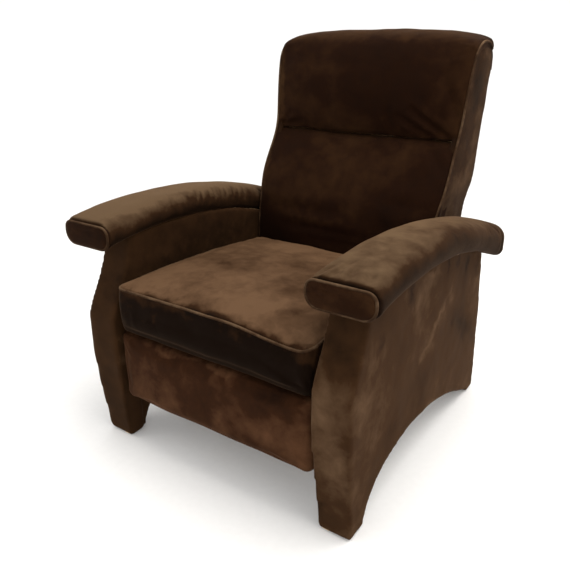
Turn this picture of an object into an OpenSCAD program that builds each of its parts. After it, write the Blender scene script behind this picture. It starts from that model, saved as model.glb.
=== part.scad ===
// Push-back recliner armchair: padded sides on arched feet, a gliding seat
// that throws the footrest out, and a back that leans on its own hinge.
// X runs across the chair, the sitter faces -Y, and Z = 0 is the floor.
// "left" and "right" are the sitter's, so left is +X.

/* [Overall] */
// Width over the arm pads
overall_w = 870; // [860:5:900]
// Depth from the arm fronts to the rear face of the back
overall_d = 916; // [916:2:926]
// Height to the crown of the back
overall_h = 1040; // [1030:2:1060]

/* [Sides and arms] */
// Clear width between the inside faces of the sides
well_w = 588; // [584:1:590]
// Thickness of a finished side, padding included
side_t = 86; // [80:2:92]
// Thickness of the plywood core of a side
core_t = 18; // [15:1:21]
// Thickness of the padding on the inside of a side
inner_pad_t = 18; // [16:1:22]
// Width of the arm pad at the front
arm_w = 163; // [155:1:170]
// Height of the arm's crown above the floor
arm_h = 633; // [627:2:643]
// Thickness of the bent arm board
arm_board_t = 13; // [10:1:16]
// Thickness of the arm pad above its board
arm_pad_t = 50; // [43:1:57]
// Thickness of an arm's front panel
arm_front_t = 12; // [9:1:15]

/* [Seat] */
// Width of the seat cushion
cushion_w = 570; // [560:1:574]
// Underside of the seat cushion above the floor
cushion_z = 349; // [349:1:352]
// Height of the cushion at its front edge
cushion_t = 100; // [90:1:106]
// How far the cushion's front border hangs below the deck
cushion_lip = 18; // [12:1:20]
// Height of the timber seat rails
rail_h = 45; // [36:1:50]
// Thickness of the timber rails and posts
rail_t = 18; // [16:1:20]

/* [Footrest] */
// Width of the footrest board with its pad
board_w = 577; // [564:1:580]
// Lower edge of the footrest when it is folded away
board_low = 138; // [130:1:148]
// Thickness of the footrest's plywood
board_ply_t = 15; // [12:1:15]
// Thickness of the footrest's pad
board_pad_t = 26; // [22:1:27]

/* [Back] */
// Width of the back between the arms
back_w = 568; // [560:1:572]
// Width of the back across its top corners
back_top_w = 612; // [604:2:624]
// Height of the seam between the head pad and the lumbar pad
back_seam_z = 758; // [745:1:770]

/* [Mechanism] */
// Thickness of the steel plates and links
plate_t = 4; // [4:0.5:5]
// Length of a glide link between its pins
glide_len = 100; // [90:1:105]
// Angle that a glide link swings through
glide_swing = 35; // [30:1:36]
// Length of a footrest arm between its pins
footrest_len = 190; // [185:1:192]
// Length of a footrest extension link between its pins
extension_len = 185; // [182:1:188]
// Radius of every pivot pin
pin_r = 4; // [3.5:0.1:4.5]
// Gap between a pin and the hole that turns on it
pin_gap = 0.05; // [0.02:0.01:0.09]

/* [Hidden] */
// facets of the turned parts
turned_fn = 48;

velvet = "#6B5138";
ply = "#C9A877";
beech = "#B98F5C";
steel = "#6E7074";
zinc = "#A9ABAD";
plastic = "#1C1B1A";
felt = "#3A342E";

front_y = -overall_d / 2;
rear_y = overall_d / 2;
lift = 4; // glide thickness, so the upholstery clears the floor
seam_gap = 0.4; // room between curved faces that meet
side_out = well_w / 2 + side_t;
core_in = well_w / 2 + inner_pad_t;
core_out = core_in + core_t;

// layers of the mechanism, as distances from the chair's middle plane
base_x = core_in - 10 - plate_t; // base plates, on 10 mm cleats
glide_x = base_x - 8;            // glide links
seat_x = glide_x - 9;            // seat plates
arm_x = seat_x - 8;              // footrest arms and control links
knuckle_x = arm_x - 8;           // knuckle plates and board brackets
extension_x = knuckle_x - 8;     // extension links
bracket_x = seat_x - 9;          // back brackets
washer_r = pin_r + 3;
head_r = pin_r + 3.5;
link_w = 20;

// pivots as [y, z] at rest
glide_front = [-200, 200];
glide_rear = [110, 200];
glide_top = glide_len * [sin(glide_swing / 2), cos(glide_swing / 2)];
foot_pivot = [-320, 325];
control_step = [30, -26];
knuckle = foot_pivot + [0, -footrest_len];
extension_pivot = knuckle + [-20, -6];
extension_lean = 85;
board_pivot = extension_pivot + extension_len * [-cos(extension_lean), sin(extension_lean)];
back_pivot = [168, 340];

// seat and footrest planes
seat_front = front_y + 11;
cushion_rear = 141;
frame_front = seat_front + 49;
frame_rear = 130;
rail_x = 250;
rail_top = cushion_z - 4;
board_top = cushion_z - cushion_lip - 6;
board_rear = seat_front + board_pad_t + board_ply_t;

// ---------- curves ----------

function bezier(a, b, c, d, n = 10) = [for (i = [0:n]) let (t = i / n, s = 1 - t)
    s * s * s * a + 3 * s * s * t * b + 3 * s * t * t * c + t * t * t * d];
function quarter(cx, cy, r, from, n = 5) = [for (i = [0:n]) let (a = from + 90 * i / n)
    [cx + r * cos(a), cy + r * sin(a)]];
function ease(t) = sqrt(max(0, 1 - (1 - t) * (1 - t)));

// a rounded rectangle from [x0, y0] to [x1, y1], always the same number of points
function rounded(x0, y0, x1, y1, r) = concat(quarter(x1 - r, y1 - r, r, 0),
    quarter(x0 + r, y1 - r, r, 90), quarter(x0 + r, y0 + r, r, 180), quarter(x1 - r, y0 + r, r, 270));

// the arm's underside and top follow two shallow parabolas
function arm_bottom(y) = arm_h - arm_board_t - arm_pad_t - 0.00038 * pow(y + 236, 2);
function arm_top(y) = arm_h - 0.00033 * pow(y + 215, 2);

// the back, seen from the side: front of its frame, front of its padding, rear cover
frame_slope = 0.305;
function frame_y(z) = 238 + (z - 577) * frame_slope;
function lumbar_y(z) = lookup(z, [[350, 148], [415, 144], [500, 147], [577, 160], [627, 180],
    [692, 222], [735, 250], [760, 266]]);
function head_y(z) = lookup(z, [[755, 262], [800, 270], [880, 280], [960, 297], [1003, 310], [1045, 345]]);
function rear_y_at(z) = lookup(z, [[280, rear_y - 104], [400, rear_y - 84], [526, rear_y - 76],
    [580, rear_y - 60], [621, rear_y - 42], [700, rear_y - 23], [back_seam_z, rear_y - 14],
    [883, rear_y - 8], [985, rear_y], [1000, rear_y]]);
function back_half(z) = lookup(z, [[350, back_w / 2], [580, back_w / 2], [640, back_w / 2 + 9],
    [back_seam_z, back_w / 2 + 7], [820, back_top_w / 2 - 10], [883, back_top_w / 2 - 7],
    [985, back_top_w / 2], [1000, back_top_w / 2]]);

// ---------- shared modules ----------

// puts a left-hand piece on the side named by s: 1 is left, -1 is right
module on_side(s) {
    if (s > 0) children();
    else mirror([1, 0, 0]) children();
}

module both_sides() {
    on_side(1) children();
    on_side(-1) children();
}

// extrudes an outline of [y, z] points along X, from x by t
module slab(x, t) {
    translate([x, 0, 0]) rotate([90, 0, 90]) linear_extrude(t) children();
}

// a round bar along X at p = [y, z]
module bar(p, x0, x1, r) {
    translate([x0, p[0], p[1]]) rotate([0, 90, 0]) cylinder(h = x1 - x0, r = r, $fn = turned_fn);
}

// joins rings of points, all of one length, into a closed solid
module loft(rings) {
    n = len(rings[0]);
    last = len(rings) - 1;
    points = [for (ring = rings) each ring];
    walls = [for (k = [0:last - 1]) for (i = [0:n - 1]) let (j = (i + 1) % n)
        each [[k * n + i, (k + 1) * n + i, (k + 1) * n + j], [k * n + i, (k + 1) * n + j, k * n + j]]];
    bottom = [for (i = [0:n - 1]) i];
    top = [for (i = [n - 1:-1:0]) last * n + i];
    polyhedron(points = points, faces = concat([bottom], walls, [top]), convexity = 6);
}

// a flat link between two [y, z] points, with a hole at each end
module link(a, b, x, hole_a, hole_b) {
    span = norm(b - a);
    slab(x, plate_t) translate(a) rotate(atan2(b[1] - a[1], b[0] - a[0])) difference() {
        union() {
            circle(r = link_w / 2, $fn = turned_fn);
            translate([span, 0]) circle(r = link_w / 2, $fn = turned_fn);
            translate([0, -link_w / 2 + 1]) square([span, link_w - 2]);
        }
        circle(r = hole_a, $fn = turned_fn);
        translate([span, 0]) circle(r = hole_b, $fn = turned_fn);
    }
}

// a shouldered rivet at p: its tail sits in the plate at x, and the part at x + d * 8 turns on it
module rivet(p, x, turns_at) {
    tail = turns_at < x ? x + plate_t : x;
    if (turns_at < x) {
        bar(p, turns_at - 0.2, tail, pin_r);
        bar(p, turns_at + plate_t + 0.2, x, washer_r);
        bar(p, turns_at - 2.7, turns_at - 0.2, head_r);
    } else {
        bar(p, tail, turns_at + plate_t + 0.2, pin_r);
        bar(p, x + plate_t, turns_at - 0.2, washer_r);
        bar(p, turns_at + plate_t + 0.2, turns_at + plate_t + 2.7, head_r);
    }
}

// a zigzag spring of flat-lying wire along +Y, bends bends long
module zigzag(bends, pitch, half, wire) {
    reach = half - pitch / 2;
    linear_extrude(wire) {
        for (i = [0:bends]) {
            translate([-reach, i * pitch - wire / 2]) square([2 * reach, wire]);
        }
        for (i = [0:bends - 1]) {
            translate([(i % 2 == 0 ? 1 : -1) * reach, (i + 0.5) * pitch])
                rotate(i % 2 == 0 ? 0 : 180) difference() {
                    circle(r = (pitch + wire) / 2, $fn = turned_fn);
                    circle(r = (pitch - wire) / 2, $fn = turned_fn);
                    translate([-pitch, -pitch]) square([pitch, 2 * pitch]);
                }
        }
    }
}

// ---------- sides, arms and base ----------

// a side seen square on: front foot, long shallow arch, tapering rear foot
module side_outline() {
    polygon(concat(
        bezier([-431, lift], [-440, 110], [-456, 235], [-454, 330], 6),
        bezier([-454, 352], [-450, 388], [-412, 425], [-386, 515], 8),
        [for (y = [-375:75:300]) [y, arm_bottom(y) - seam_gap]],
        bezier([302, 450], [316, 380], [306, 330], [320, 225], 6),
        [[332, 116], [354, lift], [306, lift]],
        bezier([300, 14], [200, 62], [60, 138], [-110, 140], 9),
        bezier([-125, 140.3], [-255, 142], [-345, 100], [-370, 16], 8),
        [[-372, lift]]));
}

// the part of a side that is padded on the inside: above the seat line, and down the front leg
module inner_pad_outline() {
    intersection() {
        side_outline();
        union() {
            translate([-500, rail_top + 12]) square([900, 400]);
            translate([-500, 0]) square([115, 500]);
        }
    }
}

bolt_spots = [[-175, 203], [-45, 203], [90, 203]];

module side_frame(s) {
    color(ply) on_side(s) difference() {
        slab(core_in, core_t) side_outline();
        for (p = bolt_spots) bar(p, core_in - 1, core_out + 1, 4.2);
    }
}

module side_pad_outer(s) {
    color(velvet) on_side(s) slab(core_out, side_out - core_out) side_outline();
}

module side_pad_inner(s) {
    color(velvet) on_side(s) slab(well_w / 2, inner_pad_t) inner_pad_outline();
}

arm_out = overall_w / 2;
arm_in_front = arm_out - arm_w;
arm_in_rear = well_w / 2 + 1;
arm_rear = 344;
function arm_in(y) = y > 60 ? arm_in_rear
    : arm_in_front + (arm_in_rear - arm_in_front) * pow((y - front_y) / (60 - front_y), 2);

module arm_board(s) {
    board = [for (y = [front_y + arm_front_t:44:320]) y];
    color(ply) on_side(s) slab(core_in - 8, arm_out - core_in - 6) polygon(concat(
        [for (y = board) [y, arm_bottom(y)]],
        [for (i = [len(board) - 1:-1:0]) [board[i], arm_bottom(board[i]) + arm_board_t]]));
}

// a ring of the arm pad at depth y, its corners rounded by r and its top lowered by drop
function arm_ring(y, r, drop) = [for (p = rounded(arm_in(y) + drop / 2,
    arm_bottom(y) + arm_board_t + seam_gap, arm_out - drop / 2, arm_top(y) - drop, r)) [p[0], y, p[1]]];

module arm_pad(s) {
    pad_front = front_y + arm_front_t;
    color(velvet) on_side(s) loft(concat(
        [for (y = [pad_front:43:pad_front + 688]) arm_ring(y, 22, 0)],
        [for (t = [0.35, 0.6, 0.8, 0.95, 1]) arm_ring(pad_front + 688 + (arm_rear - pad_front - 688) * t,
            22 - 8 * t, 34 * (1 - ease(1 - t)))]));
}

module arm_front(s) {
    low = arm_bottom(front_y) - 8;
    high = arm_top(front_y) - 9;
    color(velvet) on_side(s) translate([0, front_y + arm_front_t, 0]) rotate([90, 0, 0])
        linear_extrude(arm_front_t) polygon(rounded(arm_in_front, low, arm_out, high, 24));
}

module floor_glides() {
    color(plastic) both_sides() for (y = [-402, 329]) {
        translate([core_out + 12, y, 0]) cylinder(h = lift, r1 = 13, r2 = 14, $fn = turned_fn);
    }
}

module rear_stretcher() {
    color(beech) translate([-core_in, 268, 66]) cube([2 * core_in, rail_t, 84]);
}

module cleat(s) {
    color(beech) on_side(s) difference() {
        translate([base_x + plate_t, -262, 170]) cube([core_in - base_x - plate_t, 434, 66]);
        for (p = bolt_spots) bar(p, base_x, core_in + 1, 4.2);
    }
}

module base_plate(s) {
    color(steel) on_side(s) difference() {
        slab(base_x, plate_t) polygon(rounded(-226, 180, 136, 226, 12));
        for (p = bolt_spots) bar(p, base_x - 1, base_x + plate_t + 1, 4.2);
        for (p = [glide_front, glide_rear]) bar(p, base_x - 1, base_x + plate_t + 1, pin_r);
    }
}

module cross_tubes() {
    color(steel) for (y = [-130, 50]) difference() {
        bar([y, 205], -base_x, base_x, 12.5);
        bar([y, 205], -base_x - 1, base_x + 1, 11);
    }
}

module base_bolts() {
    color(zinc) both_sides() for (p = bolt_spots) {
        bar(p, base_x, core_out - 1, 4);
        bar(p, base_x - 2.5, base_x, 7.5);
    }
}

module glide_pins_lower() {
    color(zinc) both_sides() for (p = [glide_front, glide_rear]) rivet(p, base_x, glide_x);
}

// ---------- glide and seat ----------

module front_glide_links() {
    color(steel) both_sides() link(glide_front, glide_front + glide_top, glide_x,
        pin_r + pin_gap, pin_r + pin_gap);
}

module rear_glide_links() {
    color(steel) both_sides() link(glide_rear, glide_rear + glide_top, glide_x,
        pin_r + pin_gap, pin_r + pin_gap);
}

module glide_pins_upper() {
    color(zinc) both_sides() for (p = [glide_front, glide_rear]) rivet(p + glide_top, seat_x, glide_x);
}

seat_bolt_spots = [[-120, 322], [50, 322]];
// the seat plate's holes are pins that it holds, so they fit without play
seat_holes = [glide_front + glide_top, glide_rear + glide_top, foot_pivot,
    foot_pivot + control_step, back_pivot];

module seat_plate(s) {
    low = glide_front[1] + glide_top[1] - 16;
    outline = [[-338, 312], [-306, low - 2], [-196, low], [-150, low], [-110, low + 24],
        [80, low + 24], [118, low], [166, low], [186, 320], [186, 350], [168, 358], [146, 352],
        [120, 342], [-328, 342], [-338, 336]];
    color(steel) on_side(s) difference() {
        slab(seat_x, plate_t) polygon(outline);
        for (p = seat_holes) bar(p, seat_x - 1, seat_x + plate_t + 1, pin_r);
        for (p = seat_bolt_spots) bar(p, seat_x - 1, seat_x + plate_t + 1, 4.2);
    }
}

module seat_bolts() {
    color(zinc) both_sides() for (p = seat_bolt_spots) {
        bar(p, rail_x - rail_t + 1, seat_x + plate_t, 4);
        bar(p, rail_x, seat_x, 9);
        bar(p, seat_x + plate_t, seat_x + plate_t + 2.5, 7.5);
    }
}

module seat_rail(s) {
    color(beech) on_side(s) difference() {
        translate([rail_x - rail_t, frame_front + rail_t, rail_top - rail_h])
            cube([rail_t, frame_rear - frame_front - 2 * rail_t, rail_h]);
        for (p = seat_bolt_spots) bar(p, rail_x - rail_t - 1, rail_x + 1, 4.2);
    }
}

module cross_rail(y) {
    color(beech) translate([-rail_x, y, rail_top - rail_h]) cube([2 * rail_x, rail_t, rail_h]);
}

module seat_rail_front() {
    cross_rail(frame_front);
}

module seat_rail_rear() {
    cross_rail(frame_rear - rail_t);
}

module seat_corner_blocks() {
    leg = 46;
    inner_x = rail_x - rail_t;
    color(beech) both_sides() translate([0, 0, rail_top - rail_h]) linear_extrude(rail_h - 12) {
        polygon([[inner_x, frame_front + rail_t], [inner_x - leg, frame_front + rail_t],
            [inner_x, frame_front + rail_t + leg]]);
        polygon([[inner_x, frame_rear - rail_t], [inner_x, frame_rear - rail_t - leg],
            [inner_x - leg, frame_rear - rail_t]]);
    }
}

module seat_springs() {
    bends = 12;
    wire = 3.6;
    run = frame_rear - frame_front - 2 * rail_t - wire;
    color(steel) for (x = [-156, -52, 52, 156]) {
        translate([x, frame_front + rail_t + wire / 2, rail_top - 8])
            zigzag(bends, run / bends, 42, wire);
    }
}

module seat_deck() {
    color(felt) translate([-rail_x, frame_front, rail_top])
        cube([2 * rail_x, frame_rear - frame_front, cushion_z - rail_top]);
}

// a level of the cushion, inset all round; sag lowers it towards the back
function cushion_ring(inset, z, sag) = [for (p = rounded(inset - cushion_w / 2, seat_front + inset,
    cushion_w / 2 - inset, cushion_rear - inset, 20)) [p[0], p[1], z - sag * max(0, (p[1] + 60) / 200)]];

// a level of the front border where it hangs below the deck
function lip_ring(inset, z) = [for (p = rounded(inset - cushion_w / 2, seat_front + inset,
    cushion_w / 2 - inset, frame_front - 11, 12)) [p[0], p[1], z]];

module seat_cushion() {
    top = cushion_z + cushion_t;
    color(velvet) union() {
        loft([cushion_ring(9, cushion_z, 0), cushion_ring(0, cushion_z + 9, 0),
            cushion_ring(0, top - 10, 22), cushion_ring(4, top - 3, 24), cushion_ring(12, top, 24),
            cushion_ring(90, top + 8, 24), cushion_ring(190, top + 12, 24)]);
        loft([lip_ring(5, cushion_z - cushion_lip), lip_ring(0.5, cushion_z - cushion_lip + 6),
            lip_ring(0.5, cushion_z + 12)]);
    }
}

// ---------- footrest ----------

module footrest_pins() {
    color(zinc) both_sides() for (p = [foot_pivot, foot_pivot + control_step]) rivet(p, seat_x, arm_x);
}

module footrest_arms() {
    color(steel) both_sides() link(foot_pivot, knuckle, arm_x, pin_r + pin_gap, pin_r);
}

module footrest_control_links() {
    color(steel) both_sides() link(foot_pivot + control_step, knuckle + control_step, arm_x,
        pin_r + pin_gap, pin_r + pin_gap);
}

// the arm's pin turns in the knuckle, and the knuckle's own pin turns in the control link
module knuckle_pins() {
    color(zinc) both_sides() rivet(knuckle, arm_x, knuckle_x);
}

module knuckle_plates() {
    color(steel) both_sides() difference() {
        slab(knuckle_x, plate_t) hull() {
            translate(knuckle) circle(r = 13, $fn = 32);
            translate(knuckle + control_step) circle(r = 12, $fn = 32);
            translate(extension_pivot) circle(r = 12, $fn = 32);
        }
        bar(knuckle, knuckle_x - 1, knuckle_x + plate_t + 1, pin_r + pin_gap);
        bar(knuckle + control_step, knuckle_x - 1, knuckle_x + plate_t + 1, pin_r);
        bar(extension_pivot, knuckle_x - 1, knuckle_x + plate_t + 1, pin_r);
    }
}

module extension_pins() {
    color(zinc) both_sides() {
        rivet(extension_pivot, knuckle_x, extension_x);
        rivet(knuckle + control_step, knuckle_x, arm_x);
    }
}

module extension_links() {
    color(steel) both_sides() link(extension_pivot, board_pivot, extension_x,
        pin_r + pin_gap, pin_r + pin_gap);
}

module footrest_brackets() {
    p = board_pivot;
    flange = 24;
    color(steel) both_sides() {
        difference() {
            slab(knuckle_x, plate_t) polygon([p + [8, -10], p + [12, 0], p + [8, 8], p + [-8, 9],
                [board_rear, p[1] + 3], [board_rear, p[1] - 86], [board_rear + 14, p[1] - 86]]);
            bar(p, knuckle_x - 1, knuckle_x + plate_t + 1, pin_r);
        }
        translate([knuckle_x - flange, board_rear, p[1] - 86]) cube([flange, plate_t, 60]);
    }
}

module bracket_pins() {
    color(zinc) both_sides() rivet(board_pivot, knuckle_x, extension_x);
}

// the footrest seen from the front, its lower corners rounded
module board_outline(inset) {
    r_low = 24 - inset;
    r_top = 14;
    half = board_w / 2 - inset;
    polygon(concat(quarter(half - r_top, board_top - inset - r_top, r_top, 0),
        quarter(r_top - half, board_top - inset - r_top, r_top, 90),
        quarter(r_low - half, board_low + inset + r_low, r_low, 180),
        quarter(half - r_low, board_low + inset + r_low, r_low, 270)));
}

module footrest_board() {
    color(ply) translate([0, board_rear, 0]) rotate([90, 0, 0]) linear_extrude(board_ply_t)
        board_outline(5);
}

module footrest_pad() {
    color(velvet) translate([0, board_rear - board_ply_t, 0]) rotate([90, 0, 0]) hull() {
        linear_extrude(board_pad_t - 9) board_outline(0);
        linear_extrude(board_pad_t) board_outline(14);
    }
}

// ---------- back ----------

module back_hinge_pins() {
    color(zinc) both_sides() rivet(back_pivot, seat_x, bracket_x);
}

back_bolt_spots = [[200, 400], [214, 448]];

module back_brackets() {
    p = back_pivot;
    color(steel) both_sides() difference() {
        slab(bracket_x, plate_t) polygon([p + [-14, -4], p + [-6, -13], p + [8, -13], p + [18, 0],
            [238, 470], [208, 470], p + [5, 12], p + [-10, 10]]);
        bar(p, bracket_x - 1, bracket_x + plate_t + 1, pin_r + pin_gap);
        for (q = back_bolt_spots) bar(q, bracket_x - 1, bracket_x + plate_t + 1, 4.2);
    }
}

module back_bolts() {
    color(zinc) both_sides() for (q = back_bolt_spots) {
        bar(q, bracket_x - rail_t + 1, bracket_x + plate_t, 4);
        bar(q, bracket_x + plate_t, bracket_x + plate_t + 2.5, 7);
    }
}

cover_t = 10;
frame_top = 985;
post_low = 358;
// levels at which the back's covers change slope, shared so that their faces meet
back_levels = [362, 400, 450, 526, 580, 621, 640, 700, back_seam_z, 820, 883, 935, frame_top];

module back_post(s) {
    color(beech) on_side(s) difference() {
        slab(bracket_x - rail_t, rail_t) polygon(concat(
            [[frame_y(post_low), post_low], [frame_y(frame_top), frame_top]],
            [for (i = [len(back_levels) - 1:-1:1]) [rear_y_at(back_levels[i]) - cover_t, back_levels[i]]],
            [[250, post_low]]));
        for (q = back_bolt_spots) bar(q, bracket_x - rail_t - 1, bracket_x + 1, 4.2);
    }
}

module back_rails() {
    half = bracket_x - rail_t;
    height = 50;
    color(beech) for (z = [post_low + 8, 722, frame_top - 60]) {
        translate([-half, frame_y(z + height) + 9, z]) cube([2 * half, rail_t, height]);
    }
    // the foot rail of the outside back
    color(beech) translate([-half, rear_y_at(400) - cover_t - rail_t, 402]) cube([2 * half, rail_t, 40]);
}

module back_springs() {
    bends = 13;
    wire = 3.6;
    low = post_low + 50;
    span = (frame_top - 52 - low) / cos(atan(frame_slope));
    color(steel) for (x = [-150, -50, 50, 150]) {
        translate([x, frame_y(low) + 6, low]) rotate([90 - atan(frame_slope), 0, 0])
            zigzag(bends, span / bends, 38, wire);
    }
}

// one side of the back between the front pads and the outside cover
module back_boxing(s) {
    color(velvet) on_side(s) loft([for (z = back_levels)
        [[bracket_x + plate_t + 4, frame_y(z), z], [bracket_x + plate_t + 4, rear_y_at(z) - cover_t, z],
            [back_half(z), rear_y_at(z) - cover_t, z], [back_half(z), frame_y(z), z]]]);
}

// a level of a back pad: half the width, front, rear, corner radius and height
function pad_ring(half, front, rear, r, z) = [for (p = rounded(-half, front, half, rear, r)) [p[0], p[1], z]];

module lumbar_pad() {
    low = post_low - 4;
    top = back_seam_z - 2;
    color(velvet) loft([for (i = [0:12]) let (z = low + (top - low) * i / 12, edge = i % 12 == 0 ? 10 : 0)
        pad_ring(back_half(z) - edge / 2, lumbar_y(z) + edge, frame_y(z) - 0.5, 12, z)]);
}

module head_pad() {
    low = back_seam_z + 2;
    shoulder = frame_top + 1;
    crown = overall_h - shoulder;
    color(velvet) loft(concat(
        [for (i = [0:5]) let (z = low + (frame_top - low) * i / 5, edge = i == 0 ? 10 : 0)
            pad_ring(back_half(z) - edge / 2, head_y(z) + edge, frame_y(z) - 0.5, 12, z)],
        [for (i = [0:6]) let (t = i / 6, z = shoulder + crown * t, fall = sqrt(1 - pow(t, 2.6)))
            pad_ring(back_top_w / 2 * (0.3 + 0.7 * fall), head_y(z), rear_y - 52 * t * t - 2, 12, z)]));
}

module outside_back() {
    color(velvet) loft([for (z = concat([300], back_levels)) pad_ring(z < 600 ? back_w / 2 - 2 : back_half(z),
        rear_y_at(z) - cover_t + seam_gap, rear_y_at(z), 4, z)]);
}

side_frame(1);  // side_frame_left
side_frame(-1);  // side_frame_right
side_pad_outer(1);  // side_pad_outer_left
side_pad_outer(-1);  // side_pad_outer_right
side_pad_inner(1);  // side_pad_inner_left
side_pad_inner(-1);  // side_pad_inner_right
arm_board(1);  // arm_board_left
arm_board(-1);  // arm_board_right
arm_pad(1);  // arm_pad_left
arm_pad(-1);  // arm_pad_right
arm_front(1);  // arm_front_left
arm_front(-1);  // arm_front_right
floor_glides();
rear_stretcher();
cleat(1);  // cleat_left
cleat(-1);  // cleat_right
base_plate(1);  // base_plate_left
base_plate(-1);  // base_plate_right
cross_tubes();
base_bolts();
glide_pins_lower();
front_glide_links();
rear_glide_links();
glide_pins_upper();
seat_plate(1);  // seat_plate_left
seat_plate(-1);  // seat_plate_right
seat_bolts();
seat_rail(1);  // seat_rail_left
seat_rail(-1);  // seat_rail_right
seat_rail_front();
seat_rail_rear();
seat_corner_blocks();
seat_springs();
seat_deck();
seat_cushion();
footrest_pins();
footrest_arms();
footrest_control_links();
knuckle_pins();
knuckle_plates();
extension_pins();
extension_links();
footrest_brackets();
bracket_pins();
footrest_board();
footrest_pad();
back_hinge_pins();
back_brackets();
back_bolts();
back_post(1);  // back_post_left
back_post(-1);  // back_post_right
back_rails();
back_springs();
back_boxing(1);  // back_boxing_left
back_boxing(-1);  // back_boxing_right
lumbar_pad();
head_pad();
outside_back();
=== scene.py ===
import math

import bmesh
import bpy
import numpy as np
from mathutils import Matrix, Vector, noise
from mathutils.bvhtree import BVHTree


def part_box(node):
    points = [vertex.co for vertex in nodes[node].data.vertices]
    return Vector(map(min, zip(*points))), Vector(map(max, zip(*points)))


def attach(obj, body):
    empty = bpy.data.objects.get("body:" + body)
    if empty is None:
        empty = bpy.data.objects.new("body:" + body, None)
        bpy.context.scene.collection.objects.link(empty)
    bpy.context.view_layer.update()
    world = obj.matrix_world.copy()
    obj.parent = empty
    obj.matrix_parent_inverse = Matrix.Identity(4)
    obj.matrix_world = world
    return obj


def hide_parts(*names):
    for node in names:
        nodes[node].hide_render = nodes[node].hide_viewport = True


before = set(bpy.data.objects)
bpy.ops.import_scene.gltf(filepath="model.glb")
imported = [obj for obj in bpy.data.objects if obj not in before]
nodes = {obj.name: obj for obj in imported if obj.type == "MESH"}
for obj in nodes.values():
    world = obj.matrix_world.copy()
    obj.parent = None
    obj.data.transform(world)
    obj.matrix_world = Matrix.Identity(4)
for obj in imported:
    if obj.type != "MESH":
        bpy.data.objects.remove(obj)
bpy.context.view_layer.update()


# ---- Plywood sides, arm boards and footrest board ----
# Birch plywood cut to shape on a bandsaw. The veneers run along the length,
# and the sawn edges are left rough under the upholstery.

def shader(name, roughness, **fixed):
    """A new material with its principled shader, and the sockets that stay the same all over."""
    material = bpy.data.materials.new(name)
    material.use_nodes = True
    surface = material.node_tree.nodes["Principled BSDF"]
    surface.inputs["Roughness"].default_value = roughness
    for socket, value in fixed.items():
        surface.inputs[socket.replace("_", " ")].default_value = value
    return material, material.node_tree, surface


def add(tree, kind, **inputs):
    """A node of one kind, with the given inputs set or linked."""
    made = tree.nodes.new("ShaderNode" + kind)
    for socket, value in inputs.items():
        put(tree, made, socket.replace("_", " "), value)
    return made


def put(tree, made, socket, value):
    """Sets one input of a node, or links it when the value is another node's output."""
    if isinstance(value, bpy.types.NodeSocket):
        tree.links.new(value, made.inputs[socket])
    else:
        made.inputs[socket].default_value = value


def stretched(tree, stretch, turn=(0.0, 0.0, 0.0)):
    """Object coordinates, scaled and turned, for grain or nap that has a direction."""
    where = add(tree, "TexCoord")
    mapping = add(tree, "Mapping", Vector=where.outputs["Object"], Rotation=turn, Scale=stretch)
    return mapping.outputs["Vector"]


def ramp(tree, factor, *stops):
    """A colour ramp through (place, colour) stops."""
    made = add(tree, "ValToRGB", Fac=factor)
    band = made.color_ramp.elements
    while len(band) < len(stops):
        band.new(0.5)
    for element, (place, colour) in zip(band, stops):
        element.position = place
        element.color = (*colour, 1.0)
    return made.outputs["Color"]


def bump(tree, surface, height, strength, distance):
    """Raises the surface by a height in metres, on top of any bump that it has already."""
    made = add(tree, "Bump", Height=height, Strength=strength, Distance=distance)
    if surface.inputs["Normal"].is_linked:
        tree.links.new(surface.inputs["Normal"].links[0].from_socket, made.inputs["Normal"])
    tree.links.new(made.outputs["Normal"], surface.inputs["Normal"])


def timber(name, light, dark, along):
    """Wood with its grain along one axis: x, y or z."""
    material, tree, surface = shader(name, 0.62)
    stretch = {"x": (3.0, 60.0, 60.0), "y": (60.0, 3.0, 60.0), "z": (60.0, 60.0, 3.0)}[along]
    grain = add(tree, "TexNoise", Vector=stretched(tree, stretch), Scale=1.0, Detail=6.0,
                Roughness=0.65, Distortion=0.6)
    pores = add(tree, "TexNoise", Vector=stretched(tree, tuple(4 * s for s in stretch)), Scale=1.0)
    put(tree, surface, "Base Color", ramp(tree, grain.outputs["Fac"], (0.3, dark), (0.72, light)))
    bump(tree, surface, pores.outputs["Fac"], 0.3, 0.0004)
    return material


def dress(material, *names):
    """Gives CAD nodes their material."""
    for name in names:
        for place in nodes[name].material_slots:
            place.material = material


plywood = timber("birch_plywood", (0.62, 0.45, 0.27), (0.45, 0.29, 0.15), "y")
dress(plywood, "side_frame_left", "side_frame_right", "arm_board_left", "arm_board_right")
dress(timber("footrest_plywood", (0.6, 0.43, 0.26), (0.43, 0.28, 0.15), "x"), "footrest_board")


# ---- Beech rails, posts and cleats ----
# Kiln-dried beech, planed and glued. The rails run across the chair, the posts
# up the back, and the cleats carry the mechanism on the inside of each side.

beech_light = (0.56, 0.36, 0.2)
beech_dark = (0.4, 0.23, 0.11)
dress(timber("beech_across", beech_light, beech_dark, "x"), "rear_stretcher", "seat_rail_front",
      "seat_rail_rear", "back_rails", "seat_corner_blocks")
dress(timber("beech_fore_and_aft", beech_light, beech_dark, "y"), "seat_rail_left",
      "seat_rail_right", "cleat_left", "cleat_right")
dress(timber("beech_upright", beech_light, beech_dark, "z"), "back_post_left", "back_post_right")


# ---- Steel mechanism ----
# Pressed steel plates and links with a black powder coat, and cross tubes of
# the same finish. The zigzag springs are drawn wire with a dull oiled surface.

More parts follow.
